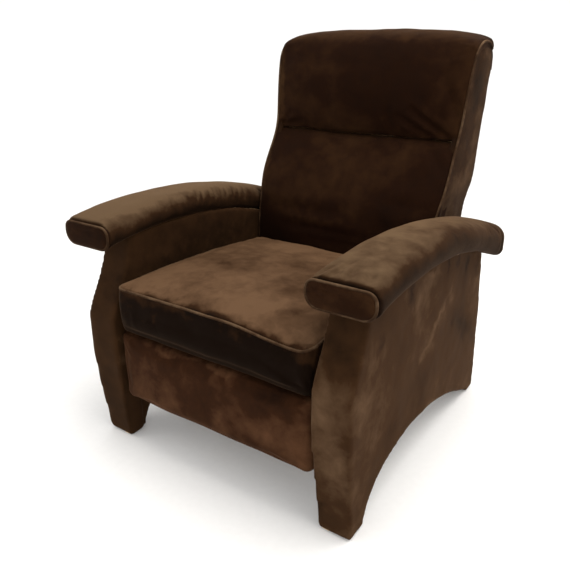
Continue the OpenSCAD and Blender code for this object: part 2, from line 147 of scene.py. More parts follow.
def metal(name, colour, rough, speck, depth, metallic=1.0):
    """Metal with a fine texture: orange peel in a coat, or drawing marks in wire."""
    material, tree, surface = shader(name, rough, Metallic=metallic)
    grains = add(tree, "TexNoise", Vector=stretched(tree, (speck, speck, speck)), Scale=1.0, Detail=3.0)
    clouds = add(tree, "TexNoise", Vector=stretched(tree, (9.0, 9.0, 9.0)), Scale=1.0, Detail=4.0)
    worn = tuple(min(1.0, 1.5 * c + 0.01) for c in colour)
    put(tree, surface, "Base Color", ramp(tree, clouds.outputs["Fac"], (0.35, colour), (0.75, worn)))
    spread = add(tree, "MapRange", Value=clouds.outputs["Fac"], To_Min=rough - 0.08, To_Max=rough + 0.14)
    put(tree, surface, "Roughness", spread.outputs["Result"])
    bump(tree, surface, grains.outputs["Fac"], 0.35, depth)
    return material


dress(metal("black_powder_coat", (0.022, 0.022, 0.024), 0.42, 900.0, 0.00012, 0.0), "base_plate_left",
      "base_plate_right", "cross_tubes", "front_glide_links", "rear_glide_links", "seat_plate_left",
      "seat_plate_right", "footrest_arms", "footrest_control_links", "knuckle_plates",
      "extension_links", "footrest_brackets", "back_brackets")
dress(metal("oiled_spring_wire", (0.14, 0.13, 0.12), 0.38, 500.0, 0.00008), "seat_springs", "back_springs")


# ---- Rivets and bolts ----
# Shouldered rivets at every pivot and cup-head bolts through the timber, all
# bright zinc plated with a faint bluish cast.

dress(metal("bright_zinc", (0.5, 0.52, 0.55), 0.3, 700.0, 0.00006), "base_bolts", "seat_bolts",
      "back_bolts", "glide_pins_lower", "glide_pins_upper", "footrest_pins", "knuckle_pins",
      "extension_pins", "bracket_pins", "back_hinge_pins")


# ---- Floor glides ----
# Moulded nylon discs nailed under the feet, scuffed matt by the floor.

dress(metal("black_nylon", (0.02, 0.02, 0.02), 0.6, 400.0, 0.0002, 0.0), "floor_glides")


# ---- Deck cloth ----
# Black non-woven felt stapled over the seat rails, under the cushion.

felt, felt_tree, felt_surface = shader("deck_felt", 0.95)
fibres = add(felt_tree, "TexNoise", Vector=stretched(felt_tree, (700.0, 700.0, 700.0)), Scale=1.0, Detail=5.0)
put(felt_tree, felt_surface, "Base Color",
    ramp(felt_tree, fibres.outputs["Fac"], (0.3, (0.02, 0.018, 0.016)), (0.8, (0.07, 0.06, 0.055))))
bump(felt_tree, felt_surface, fibres.outputs["Fac"], 0.6, 0.0006)
dress(felt, "seat_deck")


# ---- Velvet on the sides ----
# Each side is a plywood panel under foam, covered to the floor in brown cotton
# velvet. The cover is one bag pulled over the panel and stapled inside.

def velvet(name, deep, lit, patch=5.0, contrast=1.0, lean=0.0, seed=0.0, sheen=0.2, marks=()):
    """Cotton velvet: dark pile with brushed patches and placed marks, and a painted top light: lean paints the
    surfaces that face up paler.

    Each mark is a centre, a turn in degrees, a size, and how much paler or darker it lies. Some marks are nap
    marks, and some are painted highlight or painted shade.
    """
    material, tree, surface = shader(name, 0.9, Sheen_Weight=sheen, Sheen_Roughness=0.34)
    surface.inputs["Sheen Tint"].default_value = (1.0, 0.55, 0.27, 1.0)
    surface.inputs["Specular IOR Level"].default_value = 0.05
    where = add(tree, "TexCoord")
    shift = add(tree, "Mapping", Vector=where.outputs["Object"], Location=(seed, seed * 0.7, seed * 1.3))
    spot = shift.outputs["Vector"]
    broad = add(tree, "TexNoise", Vector=spot, Scale=patch, Detail=2.0, Roughness=0.45, Distortion=0.5)
    fine = add(tree, "TexNoise", Vector=spot, Scale=patch * 6.0, Detail=4.0, Roughness=0.6, Distortion=0.3)

    def plus(base, other, factor):
        """The base with another value times a factor added to it."""
        made = add(tree, "Math")
        made.operation = "MULTIPLY_ADD"
        put(tree, made, 0, other)
        made.inputs[1].default_value = factor
        put(tree, made, 2, base)
        return made.outputs["Value"]

    height = plus(plus(0.19, broad.outputs["Fac"], 0.62), fine.outputs["Fac"], 0.35)
    # painted light: surfaces that face up are painted paler, by lean times the normal's upward part, standing in
    # for the overhead light
    if lean:
        facing = add(tree, "SeparateXYZ", Vector=where.outputs["Normal"])
        height = plus(height, facing.outputs["Z"], lean)
    # the marks have ragged edges, their places shifted by noise: nap laid unevenly by fingers and folds, and
    # soft edges for the painted highlights and shade
    ragged = add(tree, "TexNoise", Vector=spot, Scale=28.0, Detail=3.0)
    off = add(tree, "VectorMath")
    off.operation = "MULTIPLY_ADD"
    tree.links.new(ragged.outputs["Color"], off.inputs[0])
    off.inputs[1].default_value = (0.07, 0.07, 0.07)
    tree.links.new(where.outputs["Object"], off.inputs[2])
    for centre, turn, size, change in marks:
        local = add(tree, "Mapping", Vector=off.outputs["Vector"], Rotation=tuple(map(math.radians, turn)),
                    Location=tuple(c + 0.035 for c in centre), Scale=size)
        local.vector_type = "TEXTURE"
        reach = add(tree, "VectorMath")
        reach.operation = "LENGTH"
        tree.links.new(local.outputs["Vector"], reach.inputs[0])
        inside = add(tree, "MapRange", Value=reach.outputs["Value"], From_Min=0.1, From_Max=1.1,
                     To_Min=1.0, To_Max=0.0)
        inside.interpolation_type = "SMOOTHSTEP"
        height = plus(height, inside.outputs["Result"], change)
    spread = 0.2 / contrast
    # between its two extremes the pile shows its redder root colour
    middle = tuple(k * (a * b) ** 0.5 for k, a, b in zip((1.08, 0.96, 0.88), deep, lit))
    put(tree, surface, "Base Color", ramp(tree, height, (0.675 - spread, deep), (0.675, middle),
                                          (0.675 + spread, lit)))
    rough = add(tree, "MapRange", Value=fine.outputs["Fac"], To_Min=0.84, To_Max=0.98)
    put(tree, surface, "Roughness", rough.outputs["Result"])
    # the pile itself, under a millimetre, and the slight ripple of the brushed patches
    pile = add(tree, "TexNoise", Vector=spot, Scale=900.0, Detail=2.0, Roughness=0.7)
    bump(tree, surface, pile.outputs["Fac"], 0.3, 0.0005)
    bump(tree, surface, fine.outputs["Fac"], 0.2, 0.002)
    return material


def coords(piece):
    """A mesh's points as an array."""
    flat = np.empty(len(piece.data.vertices) * 3)
    piece.data.vertices.foreach_get("co", flat)
    return flat.reshape(-1, 3)


def normals(piece):
    """A mesh's vertex normals as an array."""
    flat = np.empty(len(piece.data.vertices) * 3)
    piece.data.vertex_normals.foreach_get("vector", flat)
    return flat.reshape(-1, 3)


def settle(piece, points):
    """Puts the points back into the mesh."""
    piece.data.vertices.foreach_set("co", np.asarray(points, dtype=float).ravel())
    piece.data.update()


def new_piece(name, points, faces):
    """A mesh object from points and faces."""
    data = bpy.data.meshes.new(name)
    data.from_pydata([tuple(map(float, p)) for p in points], [], [tuple(map(int, f)) for f in faces])
    data.update()
    piece = bpy.data.objects.new(name, data)
    bpy.context.scene.collection.objects.link(piece)
    return piece


def baked(piece):
    """Applies every modifier on the piece."""
    graph = bpy.context.evaluated_depsgraph_get()
    data = bpy.data.meshes.new_from_object(piece.evaluated_get(graph))
    piece.modifiers.clear()
    old = piece.data
    piece.data = data
    bpy.data.meshes.remove(old)


def remesh(piece, voxel):
    """Makes one even closed skin of the piece's overlapping parts."""
    step = piece.modifiers.new("even", "REMESH")
    step.mode = "VOXEL"
    step.voxel_size = voxel
    baked(piece)


def relax(piece, rounds, weight=0.5):
    """Evens out the skin by moving each point towards its neighbours."""
    edges = np.empty(len(piece.data.edges) * 2, dtype=int)
    piece.data.edges.foreach_get("vertices", edges)
    a, b = edges.reshape(-1, 2).T
    points = coords(piece)
    count = np.bincount(np.concatenate([a, b]), minlength=len(points))[:, None]
    for turn in range(2 * rounds):
        total = np.zeros_like(points)
        for axis in range(3):
            total[:, axis] = (np.bincount(a, points[b, axis], len(points))
                              + np.bincount(b, points[a, axis], len(points)))
        # every second pass swells back, so the skin is smoothed without shrinking
        push = weight if turn % 2 == 0 else -weight * 1.04
        points = points + push * (total / count - points)
    settle(piece, points)


def swell(piece, cap, pressure=4.0, held=None):
    """Stuffs the cover by cloth simulation; no point moves further than cap, and held points stay."""
    start = coords(piece)
    cloth = piece.modifiers.new("stuffing", "CLOTH")
    cloth.settings.use_pressure = True
    cloth.settings.uniform_pressure_force = pressure
    cloth.settings.effector_weights.gravity = 0.0
    cloth.collision_settings.use_collision = False
    cloth.collision_settings.use_self_collision = False
    if held is not None:
        group = piece.vertex_groups.new(name="held")
        group.add([int(i) for i in np.nonzero(held(start))[0]], 1.0, "REPLACE")
        cloth.settings.vertex_group_mass = "held"
    cloth.point_cache.frame_start = 1
    cloth.point_cache.frame_end = 20
    for now in range(1, 21):
        bpy.context.scene.frame_set(now)
    baked(piece)
    move = coords(piece) - start
    length = np.linalg.norm(move, axis=1, keepdims=True)
    settle(piece, start + move * np.minimum(1.0, cap / np.maximum(length, 1e-9)))
    bpy.context.scene.frame_set(1)


def crease(piece, strokes, lift=0.35):
    """Presses folds into the skin: each stroke is a start, an end, a width and a depth."""
    points = coords(piece)
    along = normals(piece)
    move = np.zeros(len(points))
    for start, end, width, depth in strokes:
        a, b = np.array(start), np.array(end)
        # the stroke is laid on the skin along the normal of the point nearest its middle
        facing = along[np.argmin(np.linalg.norm(points - (a + b) / 2, axis=1))]
        rise = (points - a) @ facing
        off = points - a - rise[:, None] * facing
        slope = (b - a) @ facing
        line = b - a - slope * facing
        t = np.clip((off @ line) / (line @ line), 0.0, 1.0)
        gap = np.linalg.norm(off - t[:, None] * line, axis=1)
        gap = np.where((np.abs(rise - t * slope) < 0.035) & (along @ facing > 0.3), gap, 1.0)
        taper = np.sin(math.pi * np.clip(0.08 + 0.84 * t, 0, 1)) ** 0.7
        move -= depth * taper * np.exp(-((gap / width) ** 2))
        move += lift * depth * taper * np.exp(-(((gap - 2.1 * width) / width) ** 2))
    settle(piece, points + along * move[:, None])


def ripple(piece, size, depth, seed, keep=None):
    """Gives the skin the slight unevenness of hand-stuffed fabric."""
    points = coords(piece)
    along = normals(piece)
    shift = Vector((seed, seed * 0.37, -seed * 0.61))
    rise = np.array([noise.noise(Vector(p) / size + shift) for p in points])
    if keep is not None:
        rise = rise * keep(points)
    settle(piece, points + along * (depth * rise)[:, None])


def finished(piece, material, body, subdivide=1):
    """Last steps for any covered piece: subdivide, shade smooth, cover and hang it on its body."""
    if subdivide:
        step = piece.modifiers.new("smooth", "SUBSURF")
        step.levels = subdivide
        step.render_levels = subdivide
        baked(piece)
    piece.data.shade_smooth()
    piece.data.materials.clear()
    piece.data.materials.append(material)
    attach(piece, body)


def joined_copy(name, *names):
    """One new mesh from the shapes of several CAD nodes."""
    points, faces = [], []
    for each in names:
        base = len(points)
        points += [tuple(v.co) for v in nodes[each].data.vertices]
        faces += [[base + i for i in face.vertices] for face in nodes[each].data.polygons]
    return new_piece(name, points, faces)


def smoothstep(low, high, value):
    """0 below low, 1 above high, and a soft step between."""
    t = np.clip((value - low) / (high - low), 0.0, 1.0)
    return t * t * (3 - 2 * t)


# painted shade: a row of dark marks follows the arm's underside across the outer face, where the arm shades the
# side; the side is also darker towards the lower rear, and other marks lighten or darken parts of the outer
# face, the leg fronts and the inner face
side_velvet = velvet("velvet_side", (0.0075, 0.0032, 0.0010), (0.1240, 0.0740, 0.0405),
                     patch=4.0, contrast=0.50,
                     seed=2.0, sheen=0.07, marks=(
    ((0.38, -0.19, 0.505), (0, 0, 0), (0.15, 0.026, 0.060), -0.33),
    ((0.38, -0.26, 0.535), (8, 0, 0), (0.15, 0.060, 0.018), -0.24),
    ((0.38, -0.09, 0.535), (-6, 0, 0), (0.15, 0.060, 0.020), -0.24),
    ((0.38, 0.03, 0.510), (10, 0, 0), (0.15, 0.018, 0.034), -0.27),
    ((0.38, 0.10, 0.495), (14, 0, 0), (0.15, 0.022, 0.030), -0.27),
    ((0.38, 0.18, 0.465), (20, 0, 0), (0.15, 0.026, 0.034), -0.27),
    ((0.38, 0.26, 0.425), (24, 0, 0), (0.15, 0.030, 0.030), -0.27),
    ((0.38, -0.33, 0.44), (50, 0, 0), (0.15, 0.030, 0.014), -0.18),
    ((0.38, -0.02, 0.37), (38, 0, 0), (0.15, 0.200, 0.016), 0.10),
    ((0.38, 0.20, 0.27), (-34, 0, 0), (0.15, 0.200, 0.045), -0.24),
    ((0.38, 0.37, 0.22), (0, 0, 0), (0.15, 0.050, 0.300), -0.30),
    ((0.34, -0.45, 0.46), (0, 0, 0), (0.07, 0.060, 0.075), -0.33),
    ((-0.34, -0.45, 0.46), (0, 0, 0), (0.07, 0.060, 0.075), -0.33),
    ((0.33, -0.45, 0.20), (0, 0, 0), (0.06, 0.040, 0.200), 0.12),
    ((-0.34, -0.45, 0.20), (0, 0, 0), (0.07, 0.060, 0.240), -0.22),
    ((-0.29, -0.10, 0.43), (0, 0, 0), (0.03, 0.420, 0.200), -0.30),
    ((0.30, -0.43, 0.06), (0, 0, 0), (0.03, 0.050, 0.030), -0.22)))
knee_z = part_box("footrest_pad")[1][2]

for hand, sign in (("left", 1), ("right", -1)):
    core_in, core_out = sorted(abs(corner[0]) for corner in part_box(f"side_frame_{hand}"))
    side = joined_copy(f"side_cover_{hand}", f"side_pad_outer_{hand}", f"side_pad_inner_{hand}")
    # the outer padding reaches through the panel, and the inner padding into it, so they make one skin
    points = coords(side)
    points[:, 0] = np.where(np.abs(np.abs(points[:, 0]) - core_out) < 0.001, sign * (core_in - 0.0015),
                            np.where(np.abs(np.abs(points[:, 0]) - core_in) < 0.001,
                                     sign * (core_in + 0.008), points[:, 0]))
    settle(side, points)
    remesh(side, 0.006)
    points = coords(side)
    # the front leg tapers on its inner side from the knee to the floor
    depth_in = core_in - 0.0035 - np.abs(points[:, 0])
    leg = (1 - smoothstep(0.0, 1.0, points[:, 2] / knee_z)) * (points[:, 1] < -0.3)
    points[:, 0] += sign * np.maximum(depth_in, 0) * leg * 0.75
    settle(side, points)
    relax(side, 9)
    # the foam stands a little proud in the middle of the outer face and sinks at the edges
    points = coords(side)
    outer = smoothstep(0.2, 0.9, normals(side)[:, 0] * sign)
    swollen = outer * (0.003 * np.sin(points[:, 2] * 9.0) + 0.002)
    settle(side, points + normals(side) * (0.0022 + swollen)[:, None])
    ripple(side, 0.11, 0.0022, 3.1 * sign)
    ripple(side, 0.035, 0.0007, 7.7 * sign)
    finished(side, side_velvet, "base", subdivide=0)
    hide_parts(f"side_pad_outer_{hand}", f"side_pad_inner_{hand}")


# ---- Arm pads ----
# Foam glued on a bent board and rolled in velvet, pleated where the cover turns
# under on the inside. The front end is closed by a welted panel.

def loft(name, rings):
    """A closed skin through rings of points, all of one length."""
    rings = [np.asarray(ring, dtype=float) for ring in rings]
    size = len(rings[0])
    faces = []
    for k in range(len(rings) - 1):
        for i in range(size):
            j = (i + 1) % size
            faces.append((k * size + i, k * size + j, (k + 1) * size + j, (k + 1) * size + i))
    faces.append(tuple(reversed(range(size))))
    faces.append(tuple(range((len(rings) - 1) * size, len(rings) * size)))
    piece = new_piece(name, np.concatenate(rings), faces)
    shape = bmesh.new()
    shape.from_mesh(piece.data)
    bmesh.ops.recalc_face_normals(shape, faces=shape.faces)
    shape.to_mesh(piece.data)
    shape.free()
    return piece


def soft_rectangle(x0, z0, x1, z1, low_r, high_r, crown, count=14, left_r=None):
    """Points round a rectangle with soft corners, its top edge crowned; from the lower left."""
    left_r = high_r if left_r is None else left_r
    corners = [(x0 + low_r, z0 + low_r, low_r, 180), (x1 - low_r, z0 + low_r, low_r, 270),
               (x1 - high_r, z1 - high_r, high_r, 0), (x0 + left_r, z1 - left_r, left_r, 90)]
    outline = []
    for cx, cz, r, start in corners:
        for i in range(count + 1):
            angle = math.radians(start + 90 * i / count)
            outline.append((cx + r * math.cos(angle), cz + r * math.sin(angle)))
    outline = np.array(outline)
    across = (outline[:, 0] - x0) / (x1 - x0)
    height = np.clip((outline[:, 1] - z0) / (z1 - z0), 0, 1)
    outline[:, 1] += crown * height * np.sin(math.pi * np.clip(across, 0, 1))
    return outline


def tube(name, path, radius, closed=False, sides=10):
    """A round cord of fabric along a path of points."""
    path = [Vector(p) for p in path]
    count = len(path)
    points = []
    for i, place in enumerate(path):
        before = path[i - 1] if closed or i else path[i]
        after = path[(i + 1) % count] if closed or i < count - 1 else path[i]
        ahead = (after - before).normalized()
        side = ahead.cross(Vector((0.13, 0.21, 0.97))).normalized()
        if i and side.dot(last) < 0:
            side = -side
        last = side
        up = ahead.cross(side)
        for k in range(sides):
            angle = 2 * math.pi * k / sides
            points.append(place + radius * (math.cos(angle) * side + math.sin(angle) * up))
    rings = count if closed else count - 1
    faces = [((i * sides + k), (i * sides + (k + 1) % sides),
              (((i + 1) % count) * sides + (k + 1) % sides), (((i + 1) % count) * sides + k))
             for i in range(rings) for k in range(sides)]
    if not closed:
        faces.append(tuple(range(sides))[::-1])
        faces.append(tuple(range((count - 1) * sides, count * sides)))
    return new_piece(name, points, faces)


def evenly(path, step, closed=False):
    """The path with its points spread evenly, about step apart."""
    path = np.array([tuple(p) for p in path])
    if closed:
        path = np.vstack([path, path[:1]])
    gaps = np.linalg.norm(np.diff(path, axis=0), axis=1)
    reach = np.concatenate([[0], np.cumsum(gaps)])
    count = max(8, int(reach[-1] / step))
    stops = np.linspace(0, reach[-1], count + 1)
    if closed:
        stops = stops[:-1]
    return np.array([np.interp(stops, reach, path[:, axis]) for axis in range(3)]).T


def on_skin(piece, path, proud):
    """Moves each point of a path onto the piece's skin, standing proud of it."""
    shape = bmesh.new()
    shape.from_mesh(piece.data)
    tree = BVHTree.FromBMesh(shape)
    shape.free()
    moved = []
    for p in path:
        place, normal, _, _ = tree.find_nearest(Vector(p))
        moved.append(place + normal * proud)
    return moved


def averaged(path, rounds, closed=False):
    """Smooths a path so that a welt along it runs fair."""
    path = np.array([tuple(p) for p in path])
    for _ in range(rounds):
        before, after = np.roll(path, 1, axis=0), np.roll(path, -1, axis=0)
        fair = 0.5 * path + 0.25 * (before + after)
        if not closed:
            fair[0], fair[-1] = path[0], path[-1]
        path = fair
    return path


welt_r = 0.0034
# painted light: lean paints the top of the arm paler than both its sides, standing in for the overhead light;
# the marks darken each arm as a whole and the inner edge of the arm on -x, and add two paler patches at the
# front
arm_velvet = velvet("velvet_arm", (0.0055, 0.0022, 0.0007), (0.0850, 0.0525, 0.0281), patch=5.0, contrast=0.8,
                    lean=0.40, seed=5.0, sheen=0.08, marks=(
    ((0.35, -0.05, 0.60), (0, 0, 0), (0.30, 1.600, 0.300), -0.25),
    ((-0.35, -0.05, 0.60), (0, 0, 0), (0.30, 1.600, 0.300), -0.12),
    ((-0.30, -0.05, 0.60), (0, 0, 0), (0.030, 0.400, 0.060), -0.12),
    ((0.35, -0.25, 0.63), (0, 0, 20), (0.05, 0.120, 0.030), 0.07),
    ((-0.35, -0.28, 0.63), (0, 0, -15), (0.05, 0.120, 0.030), 0.06)))
panel_velvet = velvet("velvet_arm_front", (0.0050, 0.0018, 0.0005), (0.0340, 0.0145, 0.0052), patch=10.0,
                      contrast=0.8, seed=9.0, sheen=0.05)
# painted top light: lean paints the welts a little paler where they face up
welt_velvet = velvet("velvet_welt", (0.0110, 0.0057, 0.0029), (0.0875, 0.0537, 0.0300), patch=14.0, lean=0.14,
                     seed=11.0, sheen=0.07)
pad_high_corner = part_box("arm_pad_left")[1]
front_low, front_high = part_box("arm_front_left")



def arm_top(y):
    """The arm's upper edge along the chair, a shallow parabola."""
    return pad_high_corner[2] - 0.33 * (y + 0.215) ** 2


def arm_under(y):
    """The underside of the arm's board, which bends a little more than the top."""
    return pad_high_corner[2] - 0.063 - 0.38 * (y + 0.236) ** 2


for hand, sign in (("left", 1), ("right", -1)):
    x_out = front_high[0] - 0.004
    x_in_front = front_low[0] + 0.003
    x_in_rear = min(v.co.x for v in nodes["arm_pad_left"].data.vertices if v.co.y > 0.25)
    y_front, y_rear = front_high[1] - 0.002, pad_high_corner[1] + 0.006
    rings = []
    stations = list(np.arange(y_front, y_rear - 0.05, 0.009))
    stations += [y_rear - 0.05 * (1 - math.sin(math.pi / 2 * t)) for t in np.linspace(0, 1, 9)]
    for y in stations:
        along = min(1.0, max(0.0, (y - y_front) / 0.5))
        x_in = x_in_front + (x_in_rear - x_in_front) * along ** 1.6
        end = 1.0 - math.sqrt(max(0.0, 1 - max(0.0, (y - (y_rear - 0.05)) / 0.05) ** 2))
        shrink = 0.026 * end
        behind = math.exp(-max(0.0, y - y_front) / 0.02)
        rings.append([(x, y, z) for x, z in soft_rectangle(
            x_in + shrink, arm_under(y) - 0.0035 - 0.003 * behind + shrink * 0.9, x_out - shrink + 0.002,
            arm_top(y) - 0.003 - shrink * 1.2 - 0.002 * behind, 0.022, 0.028, 0.003, left_r=0.037)])
    arm = loft(f"arm_cover_{hand}", rings)
    if sign < 0:
        points = coords(arm)
        points[:, 0] *= -1
        settle(arm, points)
        arm.data.flip_normals()
    remesh(arm, 0.0055)
    relax(arm, 3)
    swell(arm, 0.004, pressure=3.0,
          held=lambda p: (p[:, 1] < y_front + 0.012) | (p[:, 2] < arm_under(p[:, 1]) + 0.018))
    ripple(arm, 0.08, 0.0018, 12.0 + sign)
    if sign > 0:
        # short folds run back from the front welt, and two curve over the rear end
        crease(arm, [((0.295, y_front, arm_top(y_front)), (0.315, y_front + 0.055, 0.612), 0.006, 0.0042),
                     ((0.325, y_front, arm_top(y_front)), (0.335, y_front + 0.070, 0.616), 0.006, 0.0038),
                     ((0.360, y_front, arm_top(y_front)), (0.355, y_front + 0.050, 0.615), 0.006, 0.0034),
                     ((0.405, y_front, arm_top(y_front)), (0.385, y_front + 0.060, 0.615), 0.007, 0.0036)])
    else:
        # fine ticks where the cover is gathered round the inner edge
        crease(arm, [((-x_in_front - 0.004, y, arm_top(y) - 0.026),
                      (-x_in_front - 0.030, y + 0.012 + 0.006 * math.sin(40 * y), arm_top(y) - 0.004),
                      0.004, 0.0026 + 0.0008 * math.sin(90 * y))
                     for y in np.cumsum([-0.16, 0.03, 0.022, 0.035, 0.024, 0.03, 0.02, 0.034, 0.026, 0.03])],
               lift=0.2)
    crease(arm, [((sign * (x_out - 0.002), y_rear - 0.075, arm_top(y_rear - 0.075) - 0.018),
                  (sign * (x_out - 0.004), y_rear - 0.062, arm_under(y_rear - 0.062) + 0.006), 0.006, 0.003),
                 ((sign * (x_out - 0.002), y_rear - 0.05, arm_top(y_rear - 0.05) - 0.02),
                  (sign * (x_out - 0.004), y_rear - 0.034, arm_under(y_rear - 0.034) + 0.012), 0.005, 0.002)])
    finished(arm, arm_velvet, "base")
    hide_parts(f"arm_pad_{hand}")

    # the front panel is a slightly domed board in its own velvet, with a welt sewn round it
    low_x, high_x, low_z, high_z = front_low[0], front_high[0], front_low[2], front_high[2]
    rim = soft_rectangle(low_x + 0.005, low_z + 0.003, high_x - 0.008, high_z - 0.003, 0.027, 0.019, 0.001)
    centre = np.array([(low_x + high_x) / 2, (low_z + high_z) / 2])
    rings = []
    for inset, y in ((0.0, front_high[1] + 0.004), (0.0, front_low[1] + 0.006), (0.02, front_low[1] + 0.003),
                     (0.06, front_low[1] + 0.0005), (0.16, front_low[1] - 0.001), (0.4, front_low[1] - 0.002),
                     (0.7, front_low[1] - 0.0025), (0.96, front_low[1] - 0.0027)):
        shape_2d = centre + (rim - centre) * (1 - inset)
        rings.append([(sign * x, y, z) for x, z in shape_2d])
    panel = loft(f"arm_panel_{hand}", rings)
    remesh(panel, 0.004)
    relax(panel, 1)
    crease(panel, [((sign * (low_x + 0.02), front_low[1], high_z - 0.014),
                    (sign * (low_x + 0.10), front_low[1], high_z - 0.019), 0.0035, 0.0016),
                   ((sign * (low_x + 0.015), front_low[1], high_z - 0.026),
                    (sign * (low_x + 0.06), front_low[1], high_z - 0.025), 0.003, 0.0012)])
    finished(panel, panel_velvet, "base")
    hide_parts(f"arm_front_{hand}")
    path = evenly([(sign * x, front_low[1] + 0.0045, z) for x, z in rim], 0.006, closed=True)
    finished(tube(f"arm_welt_{hand}", path, welt_r, closed=True), welt_velvet, "base")


# ---- Seat cushion ----
# A loose-looking but fixed cushion: foam with a fibre wrap, sewn from a top
# panel and a border, with a welt along the seam at the front and sides.

# painted shade: the first mark darkens the whole front border of the cushion, and lean paints the top paler, a
# painted top light; the other marks are patches in the pile
seat_velvet = velvet("velvet_seat", (0.0042, 0.0016, 0.0004), (0.0975, 0.0537, 0.0281),
                     patch=5.5, contrast=0.62,
                     lean=0.24, seed=17.0, sheen=0.08, marks=(
    ((0.0, -0.465, 0.375), (0, 0, 0), (0.90, 0.050, 0.150), -0.70),
    ((0.05, -0.30, 0.46), (0, 0, 25), (0.20, 0.060, 0.040), -0.08),
    ((-0.14, -0.20, 0.46), (0, 0, -20), (0.12, 0.050, 0.040), -0.09),
    ((0.16, -0.08, 0.46), (0, 0, 10), (0.16, 0.070, 0.050), -0.08),
    ((-0.05, -0.38, 0.46), (0, 0, 5), (0.14, 0.025, 0.030), 0.06)))
(_, seat_y0, seat_z0), (seat_x1, seat_y1, _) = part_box("seat_cushion")
seat_half = seat_x1 + 0.002
corner_r = 0.026
deck_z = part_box("seat_deck")[1][2]
welt_z = seat_z0 + 0.1205


def seat_edge(y):
    """The height of the cushion's top seam along its sides."""
    back = np.clip((y + 0.2) / 0.34, 0, 1)
    front = np.clip((y - seat_y0) / 0.2, 0, 1)
    return welt_z + 0.003 * np.sin(math.pi / 2 * front) - 0.024 * back ** 1.6


def sag(x):
    """How far the front seam has sunk at a place across the seat: most near one corner."""
    return 0.0145 * smoothstep(0.05, 0.24, x) * (1 - 0.6 * smoothstep(0.262, 0.284, x))


def spread(count, power=2.2):
    """Places from -1 to 1, closer together near the ends."""
    t = np.linspace(-1, 1, count)
    return np.sign(t) * (1 - (1 - np.abs(t)) ** power)


lip_y = -0.4105
rings = []
for s in spread(61, 1.7):
    x = s * seat_half
    over = max(0.0, abs(x) - (seat_half - corner_r))
    back_off = corner_r - math.sqrt(max(0.0, corner_r ** 2 - over ** 2))
    yf = seat_y0 + back_off
    yr = seat_y1 - 0.006 - back_off * 0.6
    pillow = (1 - abs(s) ** 2.6) ** 0.6 if abs(s) < 1 else 0.0
    ring = []
    for t in np.linspace(0, 1, 60):      # top, front to rear
        y = yf + (yr - yf) * t
        dome = math.sin(math.pi * min(1.0, 0.06 + 0.9 * t)) ** 0.5
        sunk = float(sag(x)) * (1 - float(smoothstep(0.0, 0.2, y - yf)))
        ring.append((x, y, float(seat_edge(y)) - sunk + 0.020 * pillow * dome))
    for t in np.linspace(0.15, 1, 8):    # rear border
        z = float(seat_edge(yr)) * (1 - t) + (deck_z + 0.003) * t
        ring.append((x, yr + 0.004 * math.sin(math.pi * t), z))
    for t in np.linspace(0.05, 0.95, 40):  # underside
        ring.append((x, yr + (lip_y - yr) * t, deck_z + 0.0015))
    for t in np.linspace(0, 1, 5):       # the border's inside, in front of the rail
        ring.append((x, lip_y, deck_z + 0.0015 + (seat_z0 - deck_z) * t))
    for t in np.linspace(0, 0.94, 16):   # front border, bulging a little
        ring.append((x, yf + 0.006 * (1 - t) - 0.011 * math.sin(math.pi * t), seat_z0 + 0.003
                     + (welt_z - float(sag(x)) - seat_z0 - 0.003) * t))
    rings.append(ring)
cushion = loft("seat_cushion_cover", rings)
remesh(cushion, 0.006)
relax(cushion, 2)
swell(cushion, 0.006, held=lambda p: p[:, 2] < deck_z + 0.006)
crease(cushion, [((-0.23, -0.30, 0.455), (0.02, -0.18, 0.462), 0.03, 0.0035),
                 ((0.05, -0.36, 0.455), (0.24, -0.22, 0.455), 0.034, 0.0035),
                 ((-0.12, -0.06, 0.455), (0.20, -0.02, 0.452), 0.03, 0.003)])
ripple(cushion, 0.13, 0.0035, 21.0)
ripple(cushion, 0.045, 0.0014, 23.0)
points = coords(cushion)
points[:, 2] = np.maximum(points[:, 2], np.where(points[:, 1] > lip_y, deck_z, seat_z0) + 0.0008)
settle(cushion, points)
finished(cushion, seat_velvet, "seat")
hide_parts("seat_cushion")

path = [(-seat_half, y, float(seat_edge(y))) for y in np.linspace(0.05, seat_y0 + corner_r, 40)]
path += [(-seat_half + corner_r * (1 - math.cos(a)), seat_y0 + corner_r * (1 - math.sin(a)), welt_z)
         for a in np.linspace(0, math.pi / 2, 12)]
path += [(-seat_half + corner_r + 0.01 + 0.01 * i, seat_y0, welt_z) for i in range(26)]
path += [(-p[0], p[1], p[2]) for p in reversed(path)]
path = [(x, y, z - float(sag(x)) * (1 - float(smoothstep(0.0, 0.2, y - seat_y0)))) for x, y, z in path]
path = averaged(on_skin(cushion, evenly(path, 0.008), 0.0008), 3)
finished(tube("seat_welt", path, welt_r), welt_velvet, "seat")


# ---- Footrest ----
# A plywood board under foam, pulled tight in velvet and stapled behind, its
# lower corners rounded so that they clear the feet.

